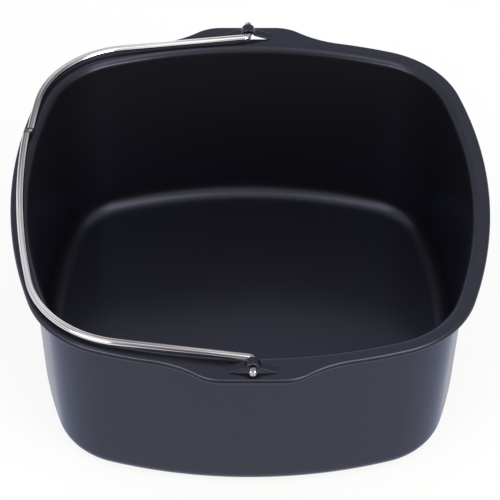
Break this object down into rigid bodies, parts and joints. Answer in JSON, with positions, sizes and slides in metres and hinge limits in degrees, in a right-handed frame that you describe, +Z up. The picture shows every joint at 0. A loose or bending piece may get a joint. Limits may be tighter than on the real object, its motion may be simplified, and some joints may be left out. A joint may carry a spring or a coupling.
{
  "type": "air fryer cake barrel",
  "caption": "Deep square cake pan with bowed sides, a turned-down flange with hinge tabs, and a wire bail that folds flat onto the rim.",
  "frame": {"origin": "middle of the flat base, on the surface that the pan stands on", "axes": "+Z up; +Y towards the back tab, along the bail's hinge axis; +X to the right, away from the folded bail"},
  "size_m": [0.1906, 0.2032, 0.0838],
  "materials": {
    "nonstick_coating": "satin charcoal non-stick coating, inside and outside",
    "bright_wire": "bright drawn stainless wire with faint lines along its length"
  },
  "bodies": {
    "pan": {"pan_body": "nonstick_coating"},
    "bail": {"bail_handle": "bright_wire"}
  },
  "joints": [
    {"name": "bail_hinge", "type": "hinge", "parent": "pan", "child": "bail", "pos_m": [0, 0, 0.0811], "axis": [0, 1, 0], "range_deg": [0, 180]}
  ]
}
